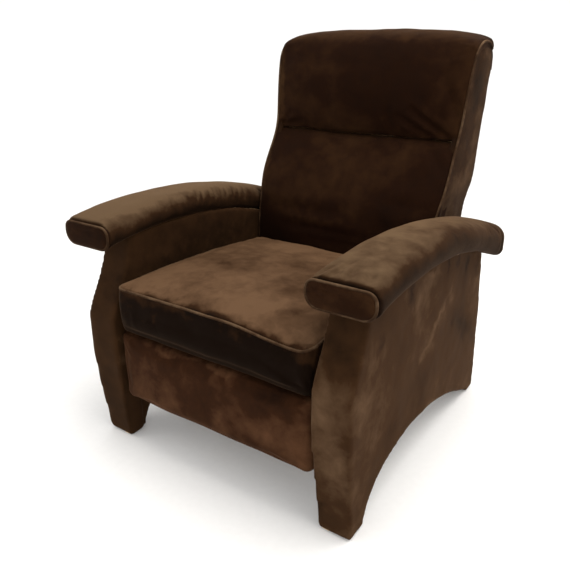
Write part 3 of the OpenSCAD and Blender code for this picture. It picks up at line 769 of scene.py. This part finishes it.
# painted highlight: the fourth mark is a thin pale line along the top edge of the board; the other marks darken
# a patch and lighten upright streaks
board_velvet = velvet("velvet_footrest", (0.0073, 0.0026, 0.0008), (0.0816, 0.0366, 0.0168), patch=5.0,
                      contrast=0.85, seed=31.0, sheen=0.06, marks=(
    ((0.22, -0.45, 0.30), (0, 0, 0), (0.09, 0.06, 0.040), -0.14),
    ((-0.12, -0.45, 0.20), (0, 10, 0), (0.035, 0.06, 0.080), 0.09),
    ((0.04, -0.45, 0.21), (0, -8, 0), (0.030, 0.06, 0.080), 0.07),
    ((-0.05, -0.45, 0.324), (0, 0, 0), (0.30, 0.06, 0.012), 0.12),
    ((0.17, -0.45, 0.19), (0, 12, 0), (0.030, 0.06, 0.070), 0.06)))
(_, pad_y0, pad_z0), (pad_x1, _, pad_z1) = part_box("footrest_pad")
board_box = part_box("footrest_board")
half_w = pad_x1 + 0.001
rim = soft_rectangle(-half_w, pad_z0, half_w, pad_z1, 0.023, 0.010, 0.0, count=12)
centre = np.array([0.0, (pad_z0 + pad_z1) / 2])
rear = board_box[1][1] - 0.002
rings = []
for inset, y in ((0.05, rear), (0.003, rear + 0.0012), (0.0, rear - 0.005), (0.0, rear - 0.018),
                 (0.0, pad_y0 + 0.013), (0.004, pad_y0 + 0.007), (0.012, pad_y0 + 0.003), (0.03, pad_y0)):
    size = np.array([half_w, (pad_z1 - pad_z0) / 2])
    scale = (size - inset) / size
    rings.append([(x, y, z) for x, z in centre + (rim - centre) * scale])
footrest = loft("footrest_cover", rings)
remesh(footrest, 0.006)
relax(footrest, 3)
points = coords(footrest)
rise = (1 - np.abs(points[:, 0] / half_w) ** 3) * np.sin(
    math.pi * np.clip((points[:, 2] - pad_z0) / (pad_z1 - pad_z0), 0, 1))
points[:, 1] -= 0.006 * rise * (points[:, 1] < pad_y0 + 0.012)
settle(footrest, points)
swell(footrest, 0.003, pressure=2.0, held=lambda p: p[:, 1] > pad_y0 + 0.02)
ripple(footrest, 0.10, 0.0022, 41.0)
finished(footrest, board_velvet, "footrest")
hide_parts("footrest_pad")


# ---- Back pads ----
# Two stuffed pads sewn to one front cover: the lumbar pad swells forward over
# the seat, and the head pad rolls over the top rail. A seam parts them.

# painted highlight: the first three marks make the crown and the left edges of the head and lumbar pads paler,
# where the sheen catches; the other two marks darken and lighten patches of the lumbar pad
back_velvet = velvet("velvet_back", (0.0028, 0.0008, 0.0002), (0.0319, 0.0138, 0.0046),
                     patch=4.5, contrast=0.58,
                     seed=43.0, sheen=0.05, marks=(
    ((0.0, 0.36, 1.03), (0, 0, 0), (0.42, 0.095, 0.050), 0.26),
    ((-0.30, 0.29, 0.87), (0, 0, 0), (0.030, 0.080, 0.140), 0.30),
    ((-0.29, 0.20, 0.66), (0, 0, 0), (0.022, 0.080, 0.110), 0.22),
    ((0.18, 0.13, 0.58), (0, 20, 0), (0.09, 0.080, 0.060), -0.14),
    ((-0.05, 0.12, 0.52), (0, -6, 0), (0.16, 0.080, 0.024), 0.10)))
lumbar_box, head_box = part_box("lumbar_pad"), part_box("head_pad")
seam_z = (lumbar_box[1][2] + head_box[0][2]) / 2
crown_z = head_box[1][2]
half_low, half_top = 0.2855, head_box[1][0] - 0.001


def curve(z, *stops):
    """A smooth line through (height, value) stops."""
    heights, values = zip(*stops)
    z = np.asarray(z, dtype=float)
    fine = np.linspace(heights[0], heights[-1], 200)
    line = np.interp(fine, heights, values)
    kernel = np.hanning(31)
    padded_line = np.concatenate([np.full(15, line[0]) - (line[15:0:-1] - line[0]), line,
                                  np.full(15, line[-1]) + (line[-1] - line[-2:-17:-1])])
    return np.interp(z, fine, np.convolve(padded_line, kernel / kernel.sum(), "valid"))


def edge_y(z):
    """How far back the welt lies at a height: the side edge of the front cover."""
    return curve(z, (0.35, 0.150), (0.415, 0.144), (0.50, 0.148), (0.577, 0.163), (0.62, 0.182),
                 (0.66, 0.203), (0.70, 0.226), (0.74, 0.2505), (0.78, 0.266), (0.82, 0.2725), (0.86, 0.277),
                 (0.90, 0.282), (0.94, 0.293), (0.97, 0.299), (1.003, 0.312), (1.04, 0.345))


def half_at(z):
    """Half the width of the back at a height."""
    return curve(z, (0.35, half_low), (0.58, half_low), (0.62, 0.295), (0.66, 0.2955), (0.70, 0.294),
                 (0.74, 0.292), (0.78, 0.294), (0.82, 0.297), (0.90, 0.300), (0.94, 0.303),
                 (0.98, half_top), (1.04, half_top))


def frame_front(z):
    """The front of the timber frame, which the pads lie against: it leans back as it rises."""
    foot_y, foot_z, lean = 0.238, 0.577, 0.305
    return foot_y + (z - foot_z) * lean


def pillow(s, power=2.4, soft=0.6):
    """How full a pad is across its width, from 0 at the welt to 1 in the middle."""
    return (1 - min(1.0, abs(s)) ** power) ** soft


low_z = lumbar_box[0][2]
rings = []
for s in spread(57, 1.6):
    ring = []
    for t in np.linspace(0, 1, 60):
        z = low_z + (seam_z - 0.001 - low_z) * t
        full = 0.030 * math.sin(math.pi * min(1.0, 0.22 + 0.74 * t)) ** 0.8
        tuck = 0.020 * math.exp(-(1 - t) * 26) + 0.012 * math.exp(-t * 30)
        y = float(edge_y(z)) - full * pillow(s) + tuck * pillow(s, 8, 0.5)
        ring.append((s * float(half_at(z)), y, z))
    for t in np.linspace(1, 0, 24):
        z = low_z + (seam_z - 0.001 - low_z) * t
        ring.append((s * float(half_at(z)), frame_front(z) - 0.002, z))
    rings.append(ring)
lumbar = loft("lumbar_cover", rings)
remesh(lumbar, 0.006)
relax(lumbar, 2)
swell(lumbar, 0.007, held=lambda p: (p[:, 1] > frame_front(p[:, 2]) - 0.012) | (p[:, 2] > seam_z - 0.012)
      | (np.abs(p[:, 0]) > half_low - 0.010))
crease(lumbar, [((-0.17, 0.125, 0.50), (0.14, 0.125, 0.492), 0.012, 0.004),
                ((-0.10, 0.13, 0.47), (0.19, 0.13, 0.468), 0.012, 0.0035),
                ((-0.22, 0.13, 0.545), (0.02, 0.13, 0.552), 0.016, 0.003),
                ((0.12, 0.16, 0.60), (0.27, 0.17, 0.58), 0.02, 0.003),
                ((0.22, 0.25, 0.745), (0.27, 0.22, 0.68), 0.012, 0.0035)])
ripple(lumbar, 0.12, 0.0035, 51.0)
ripple(lumbar, 0.04, 0.001, 53.0)
finished(lumbar, back_velvet, "back")
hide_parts("lumbar_pad")

rear_top_y = head_box[1][1] - 0.006
shoulder_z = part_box("outside_back")[1][2]
rings = []
for s in spread(57, 1.6):
    # the crown falls away towards the corners in one shallow arch
    drop = 0.006 * abs(s) ** 2 + 0.017 * abs(s) ** 9
    top_z = crown_z - 0.003 - drop
    ring = []
    for t in np.linspace(0, 1, 46):
        z = seam_z + 0.001 + (top_z - 0.034 - seam_z) * t
        full = 0.020 * math.sin(math.pi * min(1.0, 0.12 + 0.7 * t)) ** 0.7
        tuck = 0.017 * math.exp(-t * 15)
        y = float(edge_y(z)) - full * pillow(s) + tuck * pillow(s, 8, 0.5)
        ring.append((s * float(half_at(z)), y, z))
    y_start, z_start = ring[-1][1], ring[-1][2]
    for t in np.linspace(0.05, 1, 30):   # rolls over the top rail
        angle = math.pi / 2 * t
        y = y_start + (rear_top_y - 0.035 - y_start) * (1 - math.cos(angle)) ** 1.2
        z = z_start + (top_z - z_start) * math.sin(angle) ** 0.8
        ring.append((s * half_top, y, z))
    for t in np.linspace(0.1, 1, 14):    # down behind to the shoulder
        angle = math.pi / 2 * t
        y = rear_top_y - 0.035 + 0.035 * math.sin(angle)
        z = shoulder_z + (top_z - shoulder_z) * math.cos(angle) ** 0.7
        ring.append((s * half_top, y, z))
    for t in np.linspace(0.1, 1, 12):
        y = rear_top_y + (frame_front(shoulder_z) - rear_top_y) * t
        ring.append((s * half_top, y, shoulder_z + 0.001))
    for t in np.linspace(0.05, 1, 20):
        z = shoulder_z + (seam_z + 0.001 - shoulder_z) * t
        ring.append((s * float(half_at(z)), frame_front(z) - 0.002, z))
    rings.append(ring)
head = loft("head_cover", rings)
remesh(head, 0.006)
relax(head, 2)
swell(head, 0.006, held=lambda p: ((p[:, 1] > frame_front(p[:, 2]) - 0.012) & (p[:, 2] < shoulder_z + 0.004))
      | (p[:, 2] < seam_z + 0.012) | (np.abs(p[:, 0]) > half_at(p[:, 2]) - 0.012))
crease(head, [((0.275, 0.27, seam_z + 0.003), (0.155, 0.262, seam_z + 0.080), 0.0075, 0.0075),
              ((0.225, 0.262, seam_z + 0.004), (0.115, 0.256, seam_z + 0.060), 0.007, 0.0045),
              ((0.285, 0.28, seam_z + 0.05), (0.235, 0.28, seam_z + 0.16), 0.012, 0.0045),
              ((0.10, 0.255, seam_z + 0.004), (0.085, 0.26, seam_z + 0.075), 0.008, 0.0030),
              ((-0.10, 0.255, seam_z + 0.01), (-0.12, 0.26, seam_z + 0.14), 0.020, 0.0020),
              ((-0.285, 0.265, seam_z + 0.008), (-0.20, 0.262, seam_z + 0.026), 0.007, 0.0050),
              ((-0.285, 0.265, seam_z + 0.002), (-0.24, 0.262, seam_z + 0.050), 0.006, 0.0030)])
ripple(head, 0.12, 0.003, 61.0)
ripple(head, 0.04, 0.001, 63.0)
finished(head, back_velvet, "back")
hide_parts("head_pad")


# ---- Side boxing and outside back ----
# The boxing is a tapering strip of velvet over thin foam between the front
# welt and the rear; the outside back is a flat panel blind-stitched to it.

boxing_velvet = velvet("velvet_boxing", (0.0044, 0.0018, 0.0006), (0.0625, 0.0344, 0.0173), patch=7.0,
                       contrast=0.9, seed=71.0, sheen=0.06, marks=(
    ((0.30, 0.36, 0.90), (0, 0, 0), (0.05, 0.070, 0.110), -0.26),
    ((0.30, 0.44, 0.97), (0, 0, 0), (0.05, 0.030, 0.060), -0.20)))
outside_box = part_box("outside_back")
outside_points = np.array([tuple(v.co) for v in nodes["outside_back"].data.vertices])


def rear_y(z):
    """The rear face of the outside back at a height."""
    levels = np.unique(np.round(outside_points[:, 2], 4))
    backs = [outside_points[np.abs(outside_points[:, 2] - level) < 0.001][:, 1].max() for level in levels]
    return curve(z, *zip(levels, backs))


for hand, sign in (("left", 1), ("right", -1)):
    inner_x = min(abs(v) for v in (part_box(f"back_boxing_{hand}")[0][0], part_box(f"back_boxing_{hand}")[1][0]))
    rings = []
    for z in np.linspace(0.362, crown_z - 0.037, 86):
        half = float(half_at(z)) - 0.0005
        y0 = float(edge_y(z)) + 0.002
        y1 = float(rear_y(min(z, shoulder_z))) - 0.006
        fall = max(0.0, (z - (crown_z - 0.080)) / 0.043)
        y0 += 0.022 * fall ** 2
        y1 -= 0.016 * fall ** 2
        inner = min(inner_x, half - 0.018)
        ring = []
        for t in np.linspace(0, 1, 26):
            bulge = 0.004 * math.sin(math.pi * t) ** 0.6
            ring.append((sign * (half + bulge - 0.010 * min(1.0, fall) ** 2), y0 + (y1 - y0) * t, z))
        for t in np.linspace(1, 0, 12):
            ring.append((sign * inner, y0 + (y1 - y0) * t, z))
        rings.append(ring)
    boxing = loft(f"boxing_cover_{hand}", rings)
    remesh(boxing, 0.0045)
    relax(boxing, 4)
    side_x = sign * half_low
    crease(boxing, [((side_x, 0.29, seam_z + 0.02), (side_x, 0.36, seam_z - 0.01), 0.006, 0.003),
                    ((side_x, 0.28, seam_z - 0.03), (side_x, 0.34, seam_z - 0.06), 0.008, 0.002)])
    ripple(boxing, 0.07, 0.002, 73.0 + sign)
    finished(boxing, boxing_velvet, "back", subdivide=0)
    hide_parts(f"back_boxing_{hand}")

    # the welt climbs the side seam and is carried over the top corner to the rear
    path = [(sign * (float(half_at(z)) + 0.0005), float(edge_y(z)) + 0.001, z)
            for z in np.linspace(0.375, crown_z - 0.070, 80)]
    over = [(sign * half_top, 0.300 + 0.148 * t, crown_z - 0.070 + 0.040 * math.sin(math.pi * t) ** 0.6)
            for t in np.linspace(0.04, 0.98, 26)]
    path += [tuple(p) for p in on_skin(head, over, 0.0006)]
    finished(tube(f"back_welt_{hand}", averaged(evenly(path, 0.008), 4), welt_r), welt_velvet, "back")

rings = []
for z in np.linspace(outside_box[0][2], shoulder_z + 0.006, 70):
    corner = float(smoothstep(shoulder_z - 0.05, shoulder_z + 0.006, z)) ** 2
    half = float(half_at(max(z, 0.362))) - 0.002 - 0.016 * corner
    back = float(rear_y(min(z, shoulder_z)))
    outline = soft_rectangle(-half, back - 0.0105, half, back, 0.004, 0.006, 0.0, 5)
    rings.append([(x, y, z) for x, y in outline])
outside = loft("outside_back_cover", rings)
remesh(outside, 0.006)
relax(outside, 2)
ripple(outside, 0.16, 0.003, 81.0)
outside_velvet = velvet("velvet_outside", (0.011, 0.0055, 0.0028), (0.034, 0.019, 0.0105), patch=4.0,
                        seed=83.0, sheen=0.09)
finished(outside, outside_velvet, "back", subdivide=0)
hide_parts("outside_back")


# ---- The studio ----
# Pale seamless paper, flat on the floor and rolled up behind the chair, under one
# broad soft light overhead and two weaker ones at the sides. The lens is short.

paper, paper_tree, paper_surface = shader("studio_paper", 0.9)
tooth = add(paper_tree, "TexNoise", Vector=stretched(paper_tree, (60.0, 60.0, 60.0)), Scale=1.0)
put(paper_tree, paper_surface, "Base Color",
    ramp(paper_tree, tooth.outputs["Fac"], (0.3, (0.86, 0.86, 0.86)), (0.7, (0.88, 0.88, 0.88))))
profile = [(0.0, 0.0), (1.5, 0.0), (3.0, 0.0)]
profile += [(3.0 + 2.0 * math.sin(a), 2.0 - 2.0 * math.cos(a)) for a in np.linspace(0.08, math.pi / 2, 16)]
profile += [(5.0, 4.0)]
sweep = []
for angle in np.linspace(-math.pi, math.pi, 97):
    # the paper is rolled up behind the chair, and lies flat in front of it
    rolled = max(0.0, min(1.0, 2.2 + 3 * math.cos(angle)))
    sweep += [(-r * math.sin(0.594 + angle), r * math.cos(0.594 + angle), z * rolled) for r, z in profile]
count = len(profile)
floor = new_piece("studio_floor", sweep, [(k * count + i, k * count + i + 1, (k + 1) * count + i + 1,
                                           (k + 1) * count + i) for k in range(96) for i in range(count - 1)])
floor.data.shade_smooth()
paper_surface.inputs["Emission Color"].default_value = (1.0, 1.0, 1.0, 1.0)
paper_surface.inputs["Emission Strength"].default_value = 0.06
floor.data.materials.append(paper)

world = bpy.data.worlds.new("studio")
world.use_nodes = True
world.node_tree.nodes["Background"].inputs["Color"].default_value = (1.0, 0.99, 0.975, 1.0)
world.node_tree.nodes["Background"].inputs["Strength"].default_value = 1.0
bpy.context.scene.world = world
bpy.context.scene.view_settings.view_transform = "Standard"


def lamp(name, place, size, power, tint=(1.0, 0.96, 0.9)):
    """A square soft light aimed at the middle of the chair."""
    data = bpy.data.lights.new(name, "AREA")
    data.size = size
    data.energy = power
    data.color = tint
    made = bpy.data.objects.new(name, data)
    made.location = place
    aim = Vector((0, 0, 0.5)) - Vector(place)
    made.rotation_euler = aim.to_track_quat("-Z", "Y").to_euler()
    bpy.context.scene.collection.objects.link(made)


lamp("overhead", (0.7, 0.2, 2.9), 2.2, 70)
lamp("right", (2.8, -0.6, 1.6), 1.8, 14)
lamp("left", (-2.4, -1.6, 1.5), 1.8, 10)

camera_turn = math.radians(34.05)
camera_rise = math.radians(22.27)
camera_reach = 1.6378
target = Vector((0.0, -0.082, 0.3907))
lens = bpy.data.cameras.new("camera")
lens.lens = 38.34
lens.sensor_width = 36.0
lens.shift_x = -0.0154
lens.shift_y = 0.0061
camera = bpy.data.objects.new("camera", lens)
toward = Vector((math.sin(camera_turn) * math.cos(camera_rise),
                 -math.cos(camera_turn) * math.cos(camera_rise), math.sin(camera_rise)))
camera.location = target + camera_reach * toward
camera.rotation_euler = (-toward).to_track_quat("-Z", "Y").to_euler()
bpy.context.scene.collection.objects.link(camera)
bpy.context.scene.camera = camera
